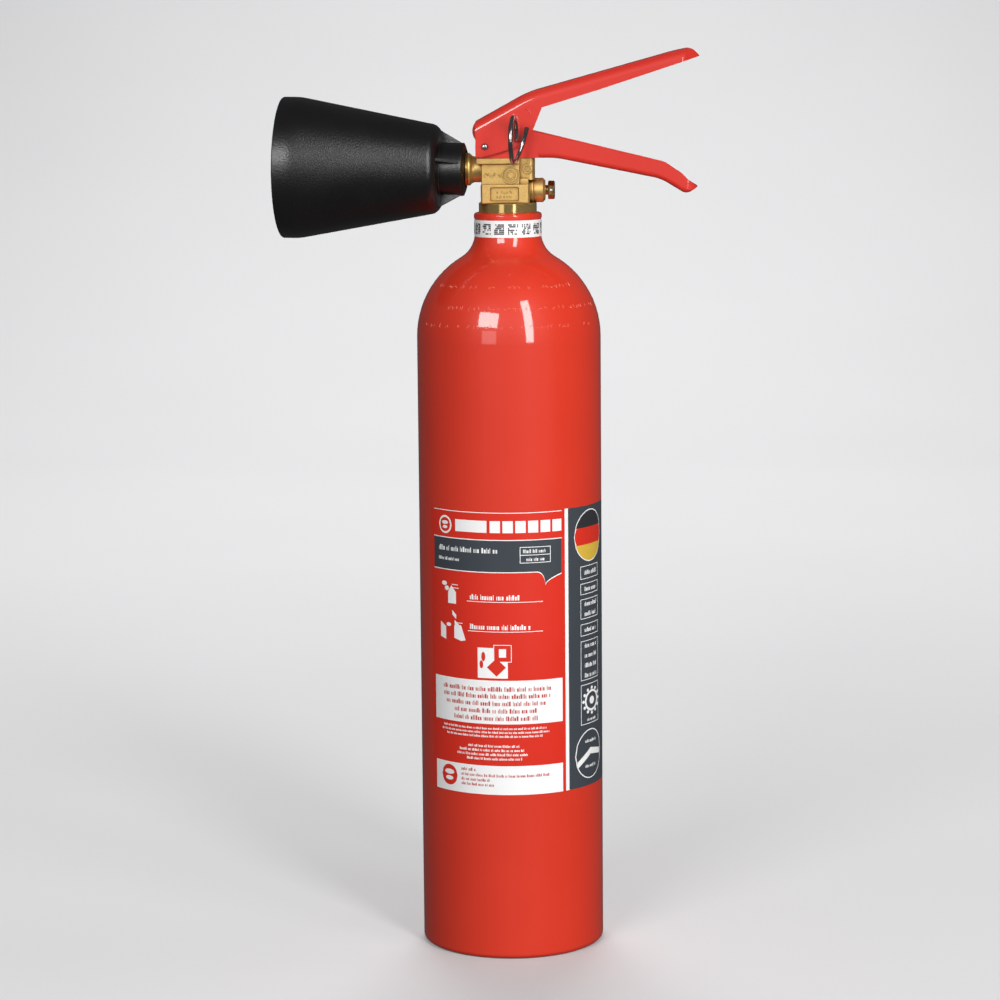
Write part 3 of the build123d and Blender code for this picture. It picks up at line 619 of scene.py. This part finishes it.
def add_stroke(mesh_data, centre, right, up, out, width, length, height):
    """A raised bar on a surface: a closed block with sloping sides, lying along up."""
    corners = []
    for level, inset in ((-STROKE_SUNK, 0.0), (height, STROKE_BEVEL)):
        base = centre + out * level
        for across, along in ((-1, -1), (1, -1), (1, 1), (-1, 1)):
            sideways = right * across * (width / 2 - inset)
            lengthways = up * along * (length / 2 - inset)
            corners.append(mesh_data.verts.new(base + sideways + lengthways))
    for face in ((3, 2, 1, 0), (4, 5, 6, 7), (0, 1, 5, 4), (1, 2, 6, 5), (2, 3, 7, 6), (3, 0, 4, 7)):
        mesh_data.faces.new([corners[index] for index in face])


def add_glyph(mesh_data, centre, right, up, out, size, height):
    """One illegible stamped mark: two or three short bars at random slants."""
    for _ in range(DRAWN.randint(2, 3)):
        slant = math.radians(DRAWN.choice((0, 90, 35, -35, 0)) + DRAWN.uniform(-6, 6))
        along = up * math.cos(slant) + right * math.sin(slant)
        across = right * math.cos(slant) - up * math.sin(slant)
        shift = right * DRAWN.uniform(-0.28, 0.28) * size + up * DRAWN.uniform(-0.25, 0.25) * size
        length = size * DRAWN.uniform(0.4, 0.75)
        add_stroke(mesh_data, centre + shift, across, along, out, GLYPH_STROKE, length, height)


SHOULDER_Z = 343.0
STAMP_ROWS = ((352.2, -62, 72), (362.0, -42, 74), (373.0, -62, 66))  # height, first and last angle
STAMP_KEPT = 0.82
STAMP_SIZE = 2.6
STAMP_RISE = 0.10
STAMP_PITCH_DEG = 3.1


def add_shoulder_stamps():
    """Three rows of worn stampings round the dome of the cylinder, under the paint, coloured lighter than
    the cylinder as a painted highlight where light catches their edges.
    """
    stamps = bmesh.new()
    for height, start, end in STAMP_ROWS:
        lift = math.asin((height - SHOULDER_Z) / BARREL_R)
        angle = start
        while angle < end:
            turn = math.radians(angle)
            around = Vector((math.sin(turn), -math.cos(turn), 0))
            out = around * math.cos(lift) + Vector((0, 0, math.sin(lift)))
            up = Vector((0, 0, math.cos(lift))) - around * math.sin(lift)
            right = Vector((math.cos(turn), math.sin(turn), 0))
            centre = out * BARREL_R + Vector((0, 0, SHOULDER_Z))
            if DRAWN.random() < STAMP_KEPT:
                add_glyph(stamps, centre, right, up, out, STAMP_SIZE, STAMP_RISE)
            angle += STAMP_PITCH_DEG / math.cos(lift) * DRAWN.choice((1.0, 1.0, 1.1, 1.9))
    # The stampings get a lighter paint than the cylinder: a painted highlight.
    finish_piece("shoulder_stamps", stamps, "stamp_highlight_paint")


VALVE_FRONT = -12.6
BADGE = (2.1, 432.3)
BADGE_SPOKE = (0.5, 4.4)
MARK_RISE = 0.28
MARK_ROWS = (
    # first X, last X, height, pitch, size
    (-12.6, -2.4, 432.2, 2.1, 3.0),
    (-5.0, 3.4, 423.0, 1.7, 1.8),
    (-5.2, 2.6, 420.6, 1.7, 1.8),
)
PAD_FACE = -10.2
LEVER_MARK = (10.3, 465.4)
LEVER_SIDE = 13.1


def add_valve_marks():
    """Raised illegible marks on the valve's front: a row by the badge, two in the pocket, a star."""
    marks = bmesh.new()
    right, up, out = Vector((1, 0, 0)), Vector((0, 0, 1)), Vector((0, -1, 0))
    for first, last, height, pitch, size in MARK_ROWS:
        x = first
        while x < last:
            add_glyph(marks, Vector((x, VALVE_FRONT, height)), right, up, out, size, MARK_RISE)
            x += pitch
    for slant in (0, 60, 120):
        turn = math.radians(slant)
        along = up * math.cos(turn) + right * math.sin(turn)
        across = right * math.cos(turn) - up * math.sin(turn)
        centre = Vector((BADGE[0], VALVE_FRONT, BADGE[1]))
        add_stroke(marks, centre, across, along, out, *BADGE_SPOKE, MARK_RISE)
    finish_piece("valve_marks", marks, "forged_brass")


BEAD_STEP_DEG = 10
BEAD_SIDES = 8


def add_bead(name, centre, y, radius, bead, ink, body="extinguisher", start=0, end=360):
    """A raised bead on a flat face: a ring, or an arc with closed ends, half sunk in the face."""
    mesh_data = bmesh.new()
    steps = (end - start) // BEAD_STEP_DEG
    whole = end - start == 360
    loops = []
    for step in range(steps if whole else steps + 1):
        turn = math.radians(start + BEAD_STEP_DEG * step)
        loop = []
        for k in range(BEAD_SIDES):
            swing = math.radians(360 / BEAD_SIDES * k)
            reach = radius + bead * math.cos(swing)
            loop.append(mesh_data.verts.new((
                centre[0] + reach * math.cos(turn),
                y + bead * math.sin(swing),
                centre[1] + reach * math.sin(turn),
            )))
        loops.append(loop)
    pairs = list(zip(loops, loops[1:]))
    if whole:
        pairs.append((loops[-1], loops[0]))
    else:
        mesh_data.faces.new(loops[0])
        mesh_data.faces.new(loops[-1][::-1])
    for one, two in pairs:
        for k in range(BEAD_SIDES):
            after = (k + 1) % BEAD_SIDES
            mesh_data.faces.new((one[k], two[k], two[after], one[after]))
    finish_piece(name, mesh_data, ink, body, smooth=True)


POCKET = (-9.4, 6.6, 418.0, 425.9)
POCKET_FACE = -13.5
POCKET_FLOOR = -12.6
POCKET_DRAFT = 0.7


def add_pocket_walls():
    """The sloping cast walls of the pocket on the valve's front and back."""
    left, right, low, high = POCKET
    for side, name in ((1, "pocket_walls_front"), (-1, "pocket_walls_back")):
        walls = bmesh.new()
        loops = []
        for inset, y in ((0.0, POCKET_FACE), (POCKET_DRAFT, POCKET_FLOOR), (0.0, POCKET_FLOOR)):
            loops.append([
                walls.verts.new((x, side * y, z))
                for x, z in ((left + inset, low + inset), (right - inset, low + inset),
                             (right - inset, high - inset), (left + inset, high - inset))
            ])
        for one, two in zip(loops, loops[1:] + loops[:1]):
            for k in range(4):
                after = (k + 1) % 4
                walls.faces.new((one[k], one[after], two[after], two[k]))
        finish_piece(name, walls, "forged_brass")


PIVOT_HEAD = Vector((-12.0, 13.5, 447.8))
PIVOT_HEAD_R = 1.55
PIVOT_HEAD_RISE = 0.55
PIVOT_HEAD_LEVELS = 5
PIVOT_HEAD_SIDES = 24


def add_pivot_heads():
    """The peened domes on both ends of the pivot pin."""
    for side, name in ((-1, "pivot_head_front"), (1, "pivot_head_back")):
        head = bmesh.new()
        rings = []
        for level in range(PIVOT_HEAD_LEVELS):
            swing = math.radians(90) * level / PIVOT_HEAD_LEVELS
            reach = PIVOT_HEAD_R * math.cos(swing)
            y = side * (PIVOT_HEAD.y + PIVOT_HEAD_RISE * math.sin(swing))
            ring = []
            for step in range(PIVOT_HEAD_SIDES):
                turn = math.radians(360 / PIVOT_HEAD_SIDES * step)
                x, z = PIVOT_HEAD.x + reach * math.cos(turn), PIVOT_HEAD.z + reach * math.sin(turn)
                ring.append(head.verts.new((x, y, z)))
            rings.append(ring)
        top = head.verts.new((PIVOT_HEAD.x, side * (PIVOT_HEAD.y + PIVOT_HEAD_RISE), PIVOT_HEAD.z))
        for step in range(PIVOT_HEAD_SIDES):
            after = (step + 1) % PIVOT_HEAD_SIDES
            for one, two in zip(rings, rings[1:]):
                head.faces.new((one[step], one[after], two[after], two[step]))
            head.faces.new((rings[-1][step], rings[-1][after], top))
        head.faces.new(rings[0])
        finish_piece(name, head, "stainless", smooth=True)


add_label()
add_band_marks()
add_shoulder_stamps()
add_valve_marks()
add_bead("badge_bead", BADGE, VALVE_FRONT, 4.6, 0.38, "forged_brass")
add_bead("pad_bead", (11.2, 435.6), PAD_FACE, 2.6, 0.34, "forged_brass")
for mark_name, mark_y in (("lever_mark_front", -LEVER_SIDE), ("lever_mark_back", LEVER_SIDE)):
    add_bead(mark_name, LEVER_MARK, mark_y, 2.7, 0.26, "grip_paint", "lever", -20, 140)
add_pocket_walls()
add_pivot_heads()

# --- Stage ----------------------------------------------------------------------------------------

FLOOR_FRONT = -6.0
FLOOR_DEPTH = 4.6
FLOOR_HALF_WIDTH = 6.0
BACKDROP_HEIGHT = 5.0
BACKDROP_BEND = 2.6
BEND_STEPS = 24


def add_stage():
    """A pale sweep: floor, a wide bend and a wall in one smooth sheet.

    It isn't seen in reflections and lends no bounced light, so the barrel's edges stay dark.
    """
    profile = [(FLOOR_FRONT, 0.0), (FLOOR_DEPTH - BACKDROP_BEND, 0.0)]
    for step in range(1, BEND_STEPS + 1):
        angle = math.radians(90) * step / BEND_STEPS
        profile.append((
            FLOOR_DEPTH - BACKDROP_BEND + BACKDROP_BEND * math.sin(angle),
            BACKDROP_BEND * (1 - math.cos(angle)),
        ))
    profile.append((FLOOR_DEPTH, BACKDROP_HEIGHT))
    verts = [(x, y, z) for y, z in profile for x in (-FLOOR_HALF_WIDTH, FLOOR_HALF_WIDTH)]
    faces = [(2 * i, 2 * i + 1, 2 * i + 3, 2 * i + 2) for i in range(len(profile) - 1)]
    mesh = bpy.data.meshes.new("sweep")
    mesh.from_pydata(verts, [], faces)
    mesh.shade_smooth()
    sweep = bpy.data.objects.new("sweep", mesh)
    bpy.context.scene.collection.objects.link(sweep)
    material, tree, shader, place = start_material("sweep")
    shade = noise(tree, place, 3.0, 2.0, 0.5)
    pale = mix_colour(tree, shade, colour(0.62, 0.62, 0.625), colour(0.65, 0.65, 0.655))
    tree.links.new(pale, shader.inputs["Base Color"])
    shader.inputs["Roughness"].default_value = 0.85
    shader.inputs["Emission Color"].default_value = colour(0.97, 0.98, 1.0)
    shader.inputs["Emission Strength"].default_value = 0.11
    mesh.materials.append(material)
    sweep.visible_glossy = False
    sweep.visible_diffuse = False


add_stage()


def add_light(name, place, target, size, power, glossy):
    """A rectangular softbox; without glossy it only adds soft light and shows in no reflection."""
    data = bpy.data.lights.new(name, "AREA")
    data.shape = "RECTANGLE"
    data.size, data.size_y = size
    data.energy = power
    light = bpy.data.objects.new(name, data)
    light.location = place
    light.rotation_euler = (Vector(target) - Vector(place)).to_track_quat("-Z", "Y").to_euler()
    light.visible_glossy = glossy
    bpy.context.scene.collection.objects.link(light)


LIGHTS = (
    # name, place, target, size, power, seen in reflections
    ("key_box", (-0.85, -1.76, 1.20), (0, 0, 0.38), (0.90, 0.66), 17, True),
    ("key_strip", (0.90, -1.76, 1.20), (0, 0, 0.36), (0.38, 1.9), 23, True),
    ("low_card", (-0.75, -1.75, 0.50), (0, 0, 0.41), (0.60, 0.4), 1.1, True),
    ("front_soft", (0.0, -2.6, 0.9), (0, 0, 0.2), (2.4, 1.5), 11, False),
    ("right_soft", (1.85, -1.55, 0.42), (0, 0, 0.20), (0.7, 1.0), 22, False),
    ("side_soft", (2.3, 0.3, 0.7), (0, 0, 0.35), (0.8, 1.4), 5, False),
    ("backdrop_top", (0, 2.2, 2.4), (0, 2.2, 0), (1.6, 1.6), 56, False),
    ("back_top", (-0.2, 1.1, 1.9), (-0.2, 1.1, 0), (0.9, 0.9), 9, False),
)
WORLD_TINT = colour(0.95, 0.95, 0.96)
WORLD_SEEN = 0.60
WORLD_LIGHT = 0.07


def add_lights():
    """Softboxes for the highlights, soft light around them, a lit backdrop and a pale world."""
    for light in LIGHTS:
        add_light(*light)
    world = bpy.data.worlds.new("studio")
    world.use_nodes = True
    tree = world.node_tree
    tree.nodes.clear()
    seen = node(tree, "ShaderNodeLightPath").outputs["Is Camera Ray"]
    dim, pale = (
        node(tree, "ShaderNodeBackground", {"Color": WORLD_TINT, "Strength": strength}).outputs[0]
        for strength in (WORLD_LIGHT, WORLD_SEEN)
    )
    both = node(tree, "ShaderNodeMixShader", {0: seen, 1: dim, 2: pale}).outputs[0]
    tree.links.new(both, node(tree, "ShaderNodeOutputWorld").inputs[0])
    bpy.context.scene.world = world


add_lights()
bpy.context.scene.view_settings.view_transform = "Standard"
